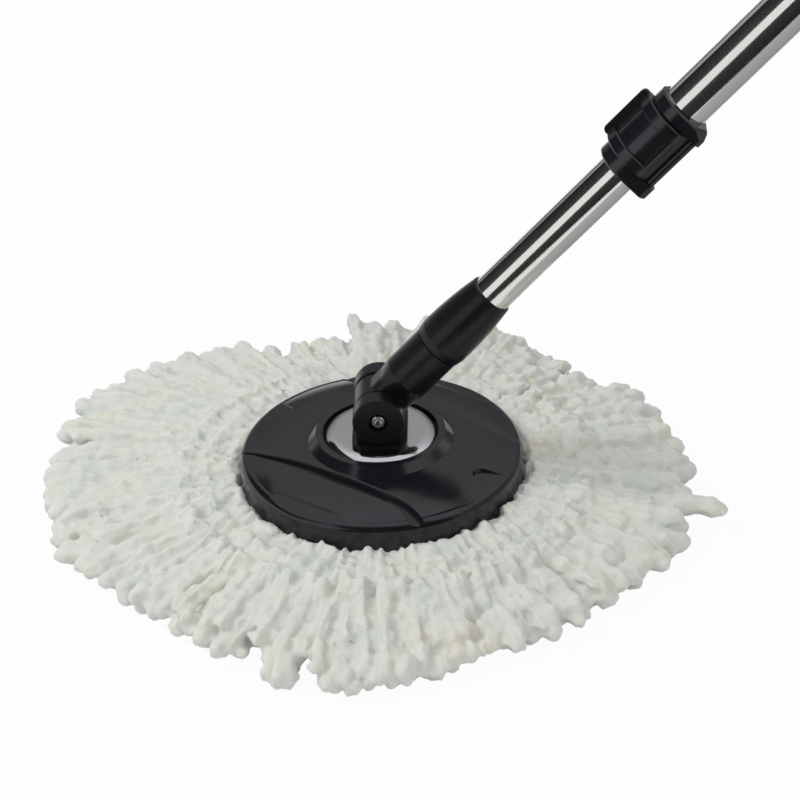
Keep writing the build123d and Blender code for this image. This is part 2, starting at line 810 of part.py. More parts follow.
# Collar: core with two eared flanges, the upper ear bevelled, and the seats of bush, tube and lever pin
lever_hinge = polar(hinge_radius, hinge_angle)
lever_pin_low = collar_start + flange_edge
lever_pin_high = collar_top - lever_pin_cover
with BuildPart() as collar_body:
    handle_ring(0, collar_radius, collar_start, collar_top)
    for flange_low, flange_height in ((collar_start, low_flange), (collar_top - high_flange, high_flange)):
        with BuildSketch(handle.offset(flange_low)):
            Circle(flange_radius)
            with Locations(lever_hinge):
                Circle(hinge_ear_radius)
            make_hull()
        extrude(amount=flange_height)
    end_faces = collar_body.faces().filter_by(GeomType.PLANE).sort_by(handle_axis)
    chamfer(end_faces[0].edges() + end_faces[-1].edges(), flange_edge)
    ear_out = handle_outward(hinge_angle)
    ear_tip = hinge_radius + hinge_ear_radius
    with BuildSketch(Plane(hinge_point + along * collar_top, x_dir=ear_out, z_dir=ear_out.cross(along))):
        with BuildLine():
            Polyline((ear_bevel_start, 0), (ear_tip, 0), (ear_tip, -ear_bevel_drop), close=True)
        make_face()
    extrude(amount=flange_radius, both=True, mode=Mode.SUBTRACT)
    handle_ring(0, lower_tube_radius + collar_lip_gap, collar_start, bush_low, Mode.SUBTRACT)
    handle_ring(0, bush_radius + running_fit, bush_low, upper_tube_low, Mode.SUBTRACT)
    handle_ring(0, upper_tube_radius + seat_fit, upper_tube_low, collar_top, Mode.SUBTRACT)
    with BuildSketch(handle.offset(collar_start)):
        with Locations(lever_hinge):
            Circle(lever_pin_radius + seat_fit)
    extrude(amount=lever_pin_high - collar_start, mode=Mode.SUBTRACT)
collar_body.part.label = "collar_body"
export_step(collar_body.part, "parts/collar_body.step")

# Flip lever: barrel on the pin, wrapped skin framed by two bands and a raised end, and a thumb plate
with BuildPart() as lock_lever:
    lever_length = lever_high - lever_low
    band_start = hinge_angle - lever_end_angle
    band_wrap = lever_wrap - lever_end_angle
    for band_low in (lever_low, lever_high - lever_band_width):
        with BuildSketch(handle.offset(band_low)):
            sector(lever_middle, band_outer, band_start, band_wrap)
        extrude(amount=lever_band_width)
    chamfer(
        lock_lever.edges().filter_by(GeomType.CIRCLE).filter_by(lambda edge: edge.radius > lever_outer),
        lever_band_edge,
    )
    with BuildSketch(handle.offset(lever_low)):
        sector(lever_inner, lever_outer, hinge_angle, lever_wrap)
        with Locations(lever_hinge):
            Circle(lever_barrel_radius)
        with BuildLine():
            Polyline(
                polar(lever_middle, hinge_angle - lever_end_foot),
                polar(band_outer - lever_band_edge, band_start),
                polar(band_outer - lever_band_edge, band_start - lever_end_wrap),
                polar(lever_middle, band_start - lever_end_wrap),
                close=True,
            )
        make_face()
    extrude(amount=lever_length)
    thumb_top = band_outer + thumb_reach
    thumb_turn = math.degrees(thumb_thickness / (lever_middle + thumb_top))
    thumb_out = handle_outward(hinge_angle - lever_wrap + thumb_turn)
    thumb_middle = hinge_point + along * (lever_low + lever_high) / 2
    with BuildSketch(Plane(thumb_middle, x_dir=along, z_dir=along.cross(thumb_out))):
        with Locations((0, (lever_middle + thumb_top) / 2)):
            RectangleRounded(lever_length, thumb_top - lever_middle, thumb_corner)
    extrude(amount=thumb_thickness / 2, both=True)
    with BuildSketch(handle.offset(lever_low)):
        with Locations(lever_hinge):
            Circle(lever_pin_radius + running_fit)
    extrude(amount=lever_length, mode=Mode.SUBTRACT)
lock_lever.part.label = "lock_lever"
export_step(lock_lever.part, "parts/lock_lever.step")

# Pin of the flip lever
with BuildPart() as lever_pin:
    with BuildSketch(handle.offset(lever_pin_low)):
        with Locations(lever_hinge):
            Circle(lever_pin_radius)
    extrude(amount=lever_pin_high - lever_pin_low)
lever_pin.part.label = "lever_pin"
export_step(lever_pin.part, "parts/lever_pin.step")

# Upper tube and top tube
with BuildPart() as upper_tube:
    handle_ring(upper_bore, upper_tube_radius, upper_tube_low, upper_tube_top)
upper_tube.part.label = "upper_tube"
export_step(upper_tube.part, "parts/upper_tube.step")

with BuildPart() as top_tube:
    handle_ring(upper_bore, upper_tube_radius, top_tube_low, top_tube_top)
top_tube.part.label = "top_tube"
export_step(top_tube.part, "parts/top_tube.step")

# Twisted bar
with BuildPart() as twist_bar:
    twisted_bar(bar_width, bar_thickness, bar_low, bar_high)
    pin_station = anchor_low + anchor_hold / 2
    with BuildSketch(handle_section):
        with Locations((0, pin_station)):
            Circle(anchor_pin_radius + seat_fit)
    extrude(amount=bar_width, both=True, mode=Mode.SUBTRACT)
twist_bar.part.label = "twist_bar"
export_step(twist_bar.part, "parts/twist_bar.step")

# Anchor: plug in the top of the upper tube, with a flange and the stud of the tube joint
with BuildPart() as bar_anchor:
    handle_ring(0, upper_bore - seat_fit, anchor_low, upper_tube_top)
    handle_ring(0, upper_tube_radius, upper_tube_top, anchor_top)
    handle_ring(0, stud_radius, anchor_top, anchor_top + stud_length)
    twisted_bar(
        bar_width + 2 * seat_fit,
        bar_thickness + 2 * seat_fit,
        anchor_low - clutch_tooth,
        bar_high + seat_fit,
        Mode.SUBTRACT,
    )
    with BuildSketch(handle_section):
        with Locations((0, pin_station)):
            Circle(anchor_pin_radius + seat_fit)
    extrude(amount=upper_bore, both=True, mode=Mode.SUBTRACT)
bar_anchor.part.label = "bar_anchor"
export_step(bar_anchor.part, "parts/bar_anchor.step")

# Cross pin through anchor and bar
with BuildPart() as anchor_pin:
    with BuildSketch(handle_section):
        with Locations((0, pin_station)):
            Circle(anchor_pin_radius)
    extrude(amount=upper_bore - 2 * body_gap, both=True)
anchor_pin.part.label = "anchor_pin"
export_step(anchor_pin.part, "parts/anchor_pin.step")

# Guide and stop at the foot of the bar
with BuildPart() as bar_stop:
    handle_ring(0, lower_bore - stop_radius_gap, stop_low, stop_top)
    twisted_bar(
        bar_width + 2 * seat_fit,
        bar_thickness + 2 * seat_fit,
        bar_low - seat_fit,
        stop_top + clutch_tooth,
        Mode.SUBTRACT,
    )
bar_stop.part.label = "bar_stop"
export_step(bar_stop.part, "parts/bar_stop.step")

# Rubber ring under the anchor
with BuildPart() as bumper:
    handle_ring(cap_bore, upper_bore - body_gap, bumper_low, anchor_low)
bumper.part.label = "bumper"
export_step(bumper.part, "parts/bumper.step")

# Insert in the foot of the top tube, which takes the stud
with BuildPart() as joint_insert:
    handle_ring(stud_radius + seat_fit, upper_tube_radius, anchor_top, top_tube_low)
    handle_ring(stud_radius + seat_fit, upper_bore - seat_fit, top_tube_low, anchor_top + insert_length)
joint_insert.part.label = "joint_insert"
export_step(joint_insert.part, "parts/joint_insert.step")

# Grip sleeve with ring grooves
with BuildPart() as grip:
    with BuildSketch(handle_section):
        grip_bore = upper_tube_radius + seat_fit
        with BuildLine():
            Polyline(
                (grip_bore, grip_low),
                (grip_foot_radius - grip_groove_radius, grip_low),
                (grip_foot_radius, grip_low + grip_groove_radius),
                (grip_foot_radius, grip_low + grip_foot),
                (grip_radius, grip_low + grip_foot + grip_groove_radius),
                (grip_radius, grip_top),
                (grip_bore, grip_top),
                close=True,
            )
        make_face()
        groove_pitch = (grip_length - 2 * grip_foot) / (grip_grooves + 1)
        with Locations((grip_radius + grip_groove_radius / 2, (grip_low + grip_top + grip_foot) / 2)):
            with GridLocations(groove_pitch, groove_pitch, 1, grip_grooves):
                RegularPolygon(grip_groove_radius, 4, mode=Mode.SUBTRACT)
    revolve(axis=handle_axis)
grip.part.label = "grip"
export_step(grip.part, "parts/grip.step")

# End cap: plug in the top tube and a flat loop with the hanging hole
with BuildPart() as end_cap:
    handle_ring(0, upper_bore - seat_fit, top_tube_top - cap_plug, top_tube_top)
    handle_ring(0, upper_tube_radius, top_tube_top, grip_top)
    handle_ring(0, grip_radius, grip_top, grip_top + grip_foot)
    with BuildSketch(handle_section):
        with Locations((0, grip_top + loop_height - loop_radius)):
            Circle(loop_radius)
        with Locations((0, grip_top + grip_foot / 2)):
            Rectangle(2 * loop_radius, grip_foot)
        make_hull()
    extrude(amount=loop_thickness / 2, both=True)
    with BuildSketch(handle_section):
        with Locations((0, grip_top + loop_height - loop_radius)):
            Circle(hang_hole_radius)
    extrude(amount=loop_thickness, both=True, mode=Mode.SUBTRACT)
end_cap.part.label = "end_cap"
export_step(end_cap.part, "parts/end_cap.step")
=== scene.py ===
# %% [markdown]
# # Spin mop
# The hard pieces of this mop come from its CAD model and keep their true size and place. This lesson gives
# them finishes, lays the soft strands of the head one by one, and sets up a camera and a plain studio.

import math
import random

import bpy
from mathutils import Matrix, Vector


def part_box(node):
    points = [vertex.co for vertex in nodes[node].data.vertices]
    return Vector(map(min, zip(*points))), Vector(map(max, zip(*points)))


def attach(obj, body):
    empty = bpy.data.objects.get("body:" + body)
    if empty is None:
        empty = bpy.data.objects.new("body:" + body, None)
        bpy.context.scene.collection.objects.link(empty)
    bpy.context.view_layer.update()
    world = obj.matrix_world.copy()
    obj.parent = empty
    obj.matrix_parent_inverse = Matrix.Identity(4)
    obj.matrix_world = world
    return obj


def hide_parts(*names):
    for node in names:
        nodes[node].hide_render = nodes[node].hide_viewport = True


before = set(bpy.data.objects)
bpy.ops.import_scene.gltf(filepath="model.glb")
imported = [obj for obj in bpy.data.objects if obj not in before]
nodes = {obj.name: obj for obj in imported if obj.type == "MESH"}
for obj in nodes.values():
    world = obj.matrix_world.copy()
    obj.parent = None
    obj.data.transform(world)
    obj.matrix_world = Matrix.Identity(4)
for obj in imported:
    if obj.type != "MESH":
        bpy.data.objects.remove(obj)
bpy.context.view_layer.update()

# %% [markdown]
# ## Camera
# The picture was taken from the front, about a third of the way up from the floor to straight above. The
# camera is set by that tilt, a small turn to the side, a small roll, its distance from the plate and its
# focal length in pixels of an 800 by 800 picture. Guessing by eye would also work, but a plate whose edge is
# a true circle gives these numbers well, and then every other piece falls into place by itself.

# %% Place the camera
picture_size = 800
sensor_width = 36
focal_pixels = 2685.0
view_tilt = math.radians(32.45)
view_turn = math.radians(2.42)
view_roll = math.radians(-2.70)
plate_distance = 1.4835
plate_pixel = (381.55, 451.23)
plate_middle = Vector((0, 0, 0.040))

look = Vector((
    -math.sin(view_turn) * math.cos(view_tilt),
    math.cos(view_turn) * math.cos(view_tilt),
    -math.sin(view_tilt),
))
level_right = Vector((math.cos(view_turn), math.sin(view_turn), 0))
level_up = level_right.cross(look)
right = level_right * math.cos(view_roll) + level_up * math.sin(view_roll)
up = level_up * math.cos(view_roll) - level_right * math.sin(view_roll)
shift_right = (plate_pixel[0] - picture_size / 2) / focal_pixels * plate_distance
shift_up = (picture_size / 2 - plate_pixel[1]) / focal_pixels * plate_distance

bpy.ops.object.select_all(action="DESELECT")
bpy.ops.object.camera_add()
camera = bpy.context.object
camera.name = "photo_camera"
camera.data.sensor_width = sensor_width
camera.data.lens = sensor_width * focal_pixels / picture_size
turn = Matrix((right, up, -look)).transposed().to_4x4()
turn.translation = plate_middle - right * shift_right - up * shift_up - look * plate_distance
camera.matrix_world = turn
bpy.context.scene.camera = camera
print("camera at", [round(v, 3) for v in camera.location], "lens", round(camera.data.lens, 1))

# %% [markdown]
# ## Studio
# A product cut-out has a white ground with hardly any shadow. The floor is pale and takes light like any
# other floor. A mix by Light Path adds white for the camera, for reflections and for glass only, so the
# ground is white without more light on the mop. Polished tubes and glossy plastic show what stands round
# them. Lamps could show there too, but their highlights are hard to steer, so the softboxes are hidden from
# reflections. Dark, grey and pale cards, which the camera can't see, give the stripes and shades that a
# real studio gives.

# %% Helpers for node materials
def new_material(name):
    """A node material with its shader, ready for more nodes."""
    material = bpy.data.materials.new(name)
    material.use_nodes = True
    tree = material.node_tree
    return material, tree, tree.nodes["Principled BSDF"]


def add_node(tree, kind, **settings):
    """A node with some of its inputs or properties set."""
    node = tree.nodes.new(kind)
    for name, value in settings.items():
        if name in node.inputs:
            node.inputs[name].default_value = value
        else:
            setattr(node, name, value)
    return node


def level_map(tree, from_low, from_high, to_low, to_high):
    """A Map Range node that turns one span of values into another."""
    level = tree.nodes.new("ShaderNodeMapRange")
    level.inputs["From Min"].default_value = from_low
    level.inputs["From Max"].default_value = from_high
    level.inputs["To Min"].default_value = to_low
    level.inputs["To Max"].default_value = to_high
    return level


def seen_rays(tree):
    """A value of 1 for rays from the camera, a reflection or glass, and 0 for rays that only carry light."""
    rays = tree.nodes.new("ShaderNodeLightPath")
    seen = add_node(tree, "ShaderNodeMath", operation="MAXIMUM")
    seen_through = add_node(tree, "ShaderNodeMath", operation="MAXIMUM")
    tree.links.new(rays.outputs["Is Camera Ray"], seen.inputs[0])
    tree.links.new(rays.outputs["Is Glossy Ray"], seen.inputs[1])
    tree.links.new(seen.outputs[0], seen_through.inputs[0])
    tree.links.new(rays.outputs["Is Transmission Ray"], seen_through.inputs[1])
    return seen_through.outputs[0]


def wear(node_names, material):
    """Give CAD nodes a material in place of their own."""
    for name in node_names:
        piece = nodes[name]
        piece.data.materials.clear()
        piece.data.materials.append(material)


print("helpers for node materials ready")

# %% Floor
floor_size = 8
floor_colour = (0.86, 0.86, 0.86, 1)
floor_glow_share = 0.95

bpy.ops.object.select_all(action="DESELECT")
bpy.ops.mesh.primitive_plane_add(size=floor_size)
floor = bpy.context.object
floor.name = "studio_floor"
floor_white, tree, shader = new_material("pale_studio_floor")
shader.inputs["Base Color"].default_value = floor_colour
shader.inputs["Roughness"].default_value = 0.9
shader.inputs["Specular IOR Level"].default_value = 0.1
glow = add_node(tree, "ShaderNodeEmission", Color=(1, 1, 1, 1), Strength=1.0)
share = add_node(tree, "ShaderNodeMath", operation="MULTIPLY")
share.inputs[1].default_value = floor_glow_share
blend = tree.nodes.new("ShaderNodeMixShader")
tree.links.new(seen_rays(tree), share.inputs[0])
tree.links.new(share.outputs[0], blend.inputs["Fac"])
tree.links.new(shader.outputs["BSDF"], blend.inputs[1])
tree.links.new(glow.outputs["Emission"], blend.inputs[2])
tree.links.new(blend.outputs["Shader"], tree.nodes["Material Output"].inputs["Surface"])
floor.data.materials.append(floor_white)
print("floor laid")

# %% World light
room_strength = 0.42

world = bpy.data.worlds.new("studio_world")
bpy.context.scene.world = world
world.use_nodes = True
tree = world.node_tree
room = tree.nodes["Background"]
room.inputs["Color"].default_value = (1.0, 1.0, 1.0, 1)
room.inputs["Strength"].default_value = room_strength
white = add_node(tree, "ShaderNodeBackground", Color=(1, 1, 1, 1), Strength=1.0)
blend = tree.nodes.new("ShaderNodeMixShader")
tree.links.new(seen_rays(tree), blend.inputs["Fac"])
tree.links.new(room.outputs["Background"], blend.inputs[1])
tree.links.new(white.outputs["Background"], blend.inputs[2])
tree.links.new(blend.outputs["Shader"], tree.nodes["World Output"].inputs["Surface"])
print("world set")


# %% Softboxes
def softbox(name, place, aim, size, power):
    """A square area lamp that points at a spot and doesn't show in reflections."""
    bpy.ops.object.select_all(action="DESELECT")
    bpy.ops.object.light_add(type="AREA", location=place)
    lamp = bpy.context.object
    lamp.name = name
    lamp.data.size = size
    lamp.data.energy = power
    lamp.visible_glossy = False
    lamp.rotation_euler = (Vector(aim) - Vector(place)).to_track_quat("-Z", "Y").to_euler()


softbox("key_softbox", place=(-1.55, -0.1, 1.85), aim=(0, 0, 0.03), size=0.9, power=24)
softbox("fill_softbox", place=(0.9, -1.7, 1.9), aim=(0.1, 0, 0.05), size=1.0, power=14.5)
print("softboxes hung")


# %% One card
def card_finish(name, left_level, right_level):
    """A plain finish that shows in reflections as a grey that changes evenly from one side to the other."""
    material, tree, shader = new_material(name)
    shader.inputs["Base Color"].default_value = (0, 0, 0, 1)
    shader.inputs["Specular IOR Level"].default_value = 0.0
    shader.inputs["Emission Color"].default_value = (1, 1, 1, 1)
    place = tree.nodes.new("ShaderNodeTexCoord")
    across = tree.nodes.new("ShaderNodeSeparateXYZ")
    level = level_map(tree, -0.5, 0.5, left_level, right_level)
    tree.links.new(place.outputs["Object"], across.inputs["Vector"])
    tree.links.new(across.outputs["X"], level.inputs["Value"])
    tree.links.new(level.outputs["Result"], shader.inputs["Emission Strength"])
    return material


def stand_card(name, place, facing, upward, wide, tall, finish):
    """A card that only reflections can see, square to a direction, with its tall side along another."""
    bpy.ops.object.select_all(action="DESELECT")
    bpy.ops.mesh.primitive_plane_add(size=1)
    card = bpy.context.object
    card.name = name
    facing = (facing - upward * facing.dot(upward)).normalized()
    turn = Matrix((upward.cross(facing), upward, facing)).transposed().to_4x4()
    turn.translation = place
    card.matrix_world = turn @ Matrix.Diagonal((wide, tall, 1, 1))
    card.data.materials.append(finish)
    card.visible_camera = False
    card.visible_diffuse = False
    card.visible_shadow = False
    card.visible_transmission = False


print("card helpers ready")

# %% Cards along the handle
# Round the handle, 0 degrees is the line that faces the camera, and a mirror there sends the view back along
# the handle by one share and away from it by the other.
handle_lean = math.radians(43.3)
handle_along = Vector((math.sin(handle_lean), 0, math.cos(handle_lean)))
handle_middle = Vector((0.24, 0, 0.33))
sent_along = -0.415
sent_away = 0.910
facing_camera = (-look - handle_along * (-look).dot(handle_along)).normalized()
facing_side = handle_along.cross(facing_camera)


def handle_card(name, first, last, distance, tall, finish):
    """A card along the handle that fills the reflections between two angles, in degrees, round the tubes."""
    middle = math.radians((first + last) / 2)
    half = math.radians((last - first) / 2)
    around = facing_camera * math.cos(middle) + facing_side * math.sin(middle)
    place = handle_middle + (handle_along * sent_along + around * sent_away) * distance
    wide = 2 * sent_away * distance * math.tan(half)
    stand_card(name, place, -around, handle_along, wide, tall, finish)


dark_left = card_finish("card_dark_left", left_level=0.060, right_level=0.010)
dark_front = card_finish("card_dark_front", left_level=0.012, right_level=0.050)
grey_under = card_finish("card_grey_under", left_level=0.30, right_level=0.52)
handle_card("left_card", first=-108, last=-40, distance=1.5, tall=1.0, finish=dark_left)
handle_card("front_card", first=-5, last=66, distance=0.45, tall=1.0, finish=dark_front)
handle_card("under_card", first=58, last=150, distance=0.17, tall=0.7, finish=grey_under)
print("cards stood along the handle")

# %% Cards over the plate
arch_radius = 1.5


def arch_card(name, first, last, long, finish):
    """A card over the plate, between two angles in degrees that go up from the back and over to the front."""
    middle = math.radians((first + last) / 2)
    half = math.radians((last - first) / 2)
    toward = Vector((0, math.cos(middle), math.sin(middle)))
    place = plate_middle + toward * arch_radius
    wide = 2 * arch_radius * math.tan(half)
    stand_card(name, place, -toward, Vector((1, 0, 0)), wide, long, finish)


pale_back = card_finish("card_pale_back", left_level=1.15, right_level=0.02)
dark_top = card_finish("card_dark_top", left_level=0.03, right_level=0.03)
arch_card("back_card", first=2, last=80, long=3.6, finish=pale_back)
arch_card("front_top_card", first=112, last=150, long=1.6, finish=dark_top)
print("cards stood over the plate")

# %% [markdown]
# ## Hard finishes
# The plate is glossy black, the hinge and the sleeve are satin, and the collar and its lever lie between
# them. A moulding is never perfectly even, so a fine grain shows in the reflections. The tubes are polished
# along their length, so their fine scratches run along the handle, and the dish in the hub is plated.
# Pictures of real surfaces could be wrapped round the pieces, but a shader with noise on its roughness and a
# little bump needs no pictures and stays sharp at any distance.

# %% Moulded plastics
noise_low = 0.3
noise_high = 0.7
smoother = 0.04
rougher = 0.05
cool_shine = (0.94, 0.93, 1.0, 1)


def moulded_plastic(name, colour, roughness, shine, grain_size, grain_depth):
    """Plastic with a slow change in its roughness and a fine grain in its surface."""
    material, tree, shader = new_material(name)
    shader.inputs["Base Color"].default_value = (*colour, 1)
    shader.inputs["Specular IOR Level"].default_value = shine
    shader.inputs["Specular Tint"].default_value = cool_shine
    place = tree.nodes.new("ShaderNodeTexCoord")
    grain = add_node(tree, "ShaderNodeTexNoise", Scale=1 / grain_size, Detail=4.0, Roughness=0.6)
    haze = add_node(tree, "ShaderNodeTexNoise", Scale=45.0, Detail=3.0)
    level = level_map(tree, noise_low, noise_high, roughness - smoother, roughness + rougher)
    bump = add_node(tree, "ShaderNodeBump", Strength=0.25, Distance=grain_depth)
    tree.links.new(place.outputs["Object"], grain.inputs["Vector"])
    tree.links.new(place.outputs["Object"], haze.inputs["Vector"])
    tree.links.new(haze.outputs["Fac"], level.inputs["Value"])
    tree.links.new(level.outputs["Result"], shader.inputs["Roughness"])
    tree.links.new(grain.outputs["Fac"], bump.inputs["Height"])
    tree.links.new(bump.outputs["Normal"], shader.inputs["Normal"])
    return material


print("plastic finish ready")

# %% Plastics of the mop
gloss_black = moulded_plastic(
    "gloss_black_moulding", (0.0085, 0.008, 0.0105),
    roughness=0.17, shine=0.5, grain_size=0.0009, grain_depth=0.00002)
satin_black = moulded_plastic(
    "satin_black_moulding", (0.0070, 0.0065, 0.0085),
    roughness=0.30, shine=0.28, grain_size=0.0008, grain_depth=0.00004)
collar_black = moulded_plastic(
    "collar_black_moulding", (0.0085, 0.0080, 0.0105),
    roughness=0.21, shine=0.55, grain_size=0.0008, grain_depth=0.00003)
matte_black = moulded_plastic(
    "matte_black_moulding", (0.014, 0.014, 0.015),
    roughness=0.52, shine=0.4, grain_size=0.0007, grain_depth=0.00012)
acetal = moulded_plastic(
    "plain_acetal", (0.72, 0.71, 0.67),
    roughness=0.42, shine=0.5, grain_size=0.0012, grain_depth=0.00004)
rubber = moulded_plastic(
    "soft_rubber", (0.02, 0.02, 0.02),
    roughness=0.72, shine=0.4, grain_size=0.0008, grain_depth=0.00010)
wear(["head_plate"], gloss_black)
wear(["hinge_fork", "hinge_arm", "socket_sleeve"], satin_black)
wear(["collar_body", "lock_lever"], collar_black)
wear(["refill_ring", "collar_bush", "guide_cap", "bar_anchor", "joint_insert", "grip", "end_cap"],
     matte_black)
wear(["clutch_seat", "drive_nut", "bar_stop"], acetal)
wear(["bumper"], rubber)
print("plastics done")

# %% Worked metals
smoother_share = 0.8
rougher_share = 1.25


def worked_metal(name, colour, roughness, stretch, depth):
    """Metal with fine scratches, drawn out along the handle by the stretch."""
    material, tree, shader = new_material(name)
    shader.inputs["Base Color"].default_value = (*colour, 1)
    shader.inputs["Metallic"].default_value = 1.0
    place = tree.nodes.new("ShaderNodeTexCoord")
    lie = add_node(tree, "ShaderNodeMapping", vector_type="TEXTURE")
    lie.inputs["Rotation"].default_value = (0, handle_lean, 0)
    lie.inputs["Scale"].default_value = (1, 1, stretch)
    scratch = add_node(tree, "ShaderNodeTexNoise", Scale=2200.0, Detail=3.0, Roughness=0.6)
    cloud = add_node(tree, "ShaderNodeTexNoise", Scale=30.0, Detail=2.0)
    level = level_map(tree, noise_low, noise_high, roughness * smoother_share, roughness * rougher_share)
    bump = add_node(tree, "ShaderNodeBump", Strength=0.2, Distance=depth)
    tree.links.new(place.outputs["Object"], lie.inputs["Vector"])
    tree.links.new(lie.outputs["Vector"], scratch.inputs["Vector"])
    tree.links.new(place.outputs["Object"], cloud.inputs["Vector"])
    tree.links.new(cloud.outputs["Fac"], level.inputs["Value"])
    tree.links.new(level.outputs["Result"], shader.inputs["Roughness"])
    tree.links.new(scratch.outputs["Fac"], bump.inputs["Height"])
    tree.links.new(bump.outputs["Normal"], shader.inputs["Normal"])
    return material


print("metal finish ready")

# %% Metals of the mop
polished_steel = worked_metal(
    "polished_steel", (0.72, 0.71, 0.69), roughness=0.11, stretch=60, depth=0.000002)
chrome_plate = worked_metal("chrome_plate", (0.51, 0.51, 0.535), roughness=0.09, stretch=1, depth=0.000001)
plain_steel = worked_metal("plain_steel", (0.55, 0.55, 0.56), roughness=0.32, stretch=4, depth=0.00001)
bright_steel = worked_metal("bright_steel", (0.80, 0.80, 0.81), roughness=0.20, stretch=1, depth=0.00001)
wear(["lower_tube", "upper_tube", "top_tube"], polished_steel)
wear(["fork_screws", "pivot_nut", "lever_pin", "twist_bar", "anchor_pin"], plain_steel)
wear(["pivot_bolt"], bright_steel)
print("metals done")

# %% [markdown]
# ## Chrome dish
# The plated dish under the fork is pressed from sheet, so its edge is rolled over, and the roll catches the
# light as a thin bright crescent. A bevel on the CAD solid would also round it, but a disc that is extruded
# upwards ring by ring, each ring drawn in a little, gives an even roll and a flat seat.

# %% Press the dish
dish_low, dish_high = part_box("trim_dish")
dish_radius = dish_high[0]
dish_sides = 128
seat_radius = 0.0250
seat_border = 0.0010
roll_radius = 0.0080
roll_steps = 12
roll_last = math.asin((dish_radius - seat_radius) / roll_radius)
crease_angle = math.radians(30)

bpy.ops.object.select_all(action="DESELECT")
bpy.ops.mesh.primitive_circle_add(
    vertices=dish_sides,
    radius=dish_radius,
    fill_type="NGON",
    location=(0, 0, dish_low[2]),
)
dish = bpy.context.object
dish.name = "rolled_dish"
bpy.ops.object.transform_apply(location=True, rotation=False, scale=False)
bpy.ops.object.mode_set(mode="EDIT")
bpy.ops.mesh.select_all(action="SELECT")
ring_radius = dish_radius
ring_height = dish_low[2]
for step in range(roll_steps, -1, -1):
    slope = roll_last * step / roll_steps
    radius = seat_radius + roll_radius * math.sin(slope)
    height = dish_high[2] - roll_radius * (1 - math.cos(slope))
    bpy.ops.mesh.extrude_region_move(TRANSFORM_OT_translate={"value": (0, 0, height - ring_height)})
    draw_in = radius / ring_radius
    bpy.ops.transform.resize(value=(draw_in, draw_in, 1), center_override=(0, 0, height))
    ring_radius = radius
    ring_height = height
bpy.ops.mesh.inset(thickness=seat_border, depth=0)
bpy.ops.mesh.select_all(action="SELECT")
bpy.ops.mesh.normals_make_consistent(inside=False)
bpy.ops.object.mode_set(mode="OBJECT")
bpy.ops.object.shade_smooth_by_angle(angle=crease_angle)
dish.data.materials.append(chrome_plate)
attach(dish, "head")
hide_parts("trim_dish")
print("dish faces:", len(dish.data.polygons))

# %% [markdown]
# ## Microfibre
# The strands are chenille: a soft, matt, looped yarn that is nearly white, with a hint of green in its shade.
# Real fibre could be drawn as hair, but it would be far too heavy for hundreds of strands. Lumpy tubes with a
# knobbly skin look the same from a step away, and light that soaks into them keeps their shadows soft.

# %% Microfibre finish
cool_white = (0.68, 0.705, 0.67, 1)
plain_white = (0.72, 0.735, 0.69, 1)
warm_white = (0.735, 0.725, 0.645, 1)

microfibre, tree, shader = new_material("white_microfibre")
place = tree.nodes.new("ShaderNodeTexCoord")
knobs = add_node(tree, "ShaderNodeTexVoronoi", Scale=190.0, feature="SMOOTH_F1", Smoothness=0.6)
fuzz = add_node(tree, "ShaderNodeTexNoise", Scale=700.0, Detail=3.0, Roughness=0.6)
patch = add_node(tree, "ShaderNodeTexNoise", Scale=38.0, Detail=3.0, Roughness=0.55)
tint = tree.nodes.new("ShaderNodeValToRGB")
tint.color_ramp.elements[0].position = 0.34
tint.color_ramp.elements[0].color = cool_white
tint.color_ramp.elements[1].position = 0.66
tint.color_ramp.elements[1].color = warm_white
tint.color_ramp.elements.new(0.5).color = plain_white
knob_bump = add_node(tree, "ShaderNodeBump", Strength=0.45, Distance=0.0016)
knob_bump.invert = True
fuzz_bump = add_node(tree, "ShaderNodeBump", Strength=0.22, Distance=0.0005)
tree.links.new(place.outputs["Object"], knobs.inputs["Vector"])
tree.links.new(place.outputs["Object"], fuzz.inputs["Vector"])
tree.links.new(place.outputs["Object"], patch.inputs["Vector"])
tree.links.new(patch.outputs["Fac"], tint.inputs["Fac"])
tree.links.new(tint.outputs["Color"], shader.inputs["Base Color"])
tree.links.new(knobs.outputs["Distance"], knob_bump.inputs["Height"])
tree.links.new(fuzz.outputs["Fac"], fuzz_bump.inputs["Height"])
tree.links.new(knob_bump.outputs["Normal"], fuzz_bump.inputs["Normal"])
tree.links.new(fuzz_bump.outputs["Normal"], shader.inputs["Normal"])
shader.inputs["Roughness"].default_value = 0.9
shader.inputs["Specular IOR Level"].default_value = 0.12
shader.inputs["Subsurface Weight"].default_value = 0.5
shader.inputs["Subsurface Radius"].default_value = (1.0, 1.0, 0.95)
shader.inputs["Subsurface Scale"].default_value = 0.006
shader.inputs["Sheen Weight"].default_value = 0.2
shader.inputs["Sheen Roughness"].default_value = 0.5
print("microfibre mixed")

# %% [markdown]
# ## One strand of each kind
# A strand leaves the backing under the plate's skirt and runs out to a rounded tip. Those at the bottom drop
# at once and lie on the floor, those on top run out high, and short loops stand in rows beside the skirt.
# Drawing hundreds of curves would work, but a handful of modelled strands for each height, turned round the
# head and stretched to the reach of the pile, gives the same ruffle with far fewer steps. Each starts as a
# six-sided disc that is extruded ring by ring and swollen by chance at every ring, because chenille is lumpy.

# %% Shape of a strand
root_reach = 0.0735
unit_length = 0.105
strand_sides = 6
root_swell = 0.75
bead_count = 8
bead_crowding = 0.95
bead_belly = 1.08
bead_neck = 0.84
tip_swell = 0.80
tip_length = 0.0030
tip_end = 0.38
lump = 0.20
sway = 0.0017
sway_kept = 0.7
wobble = 0.0010

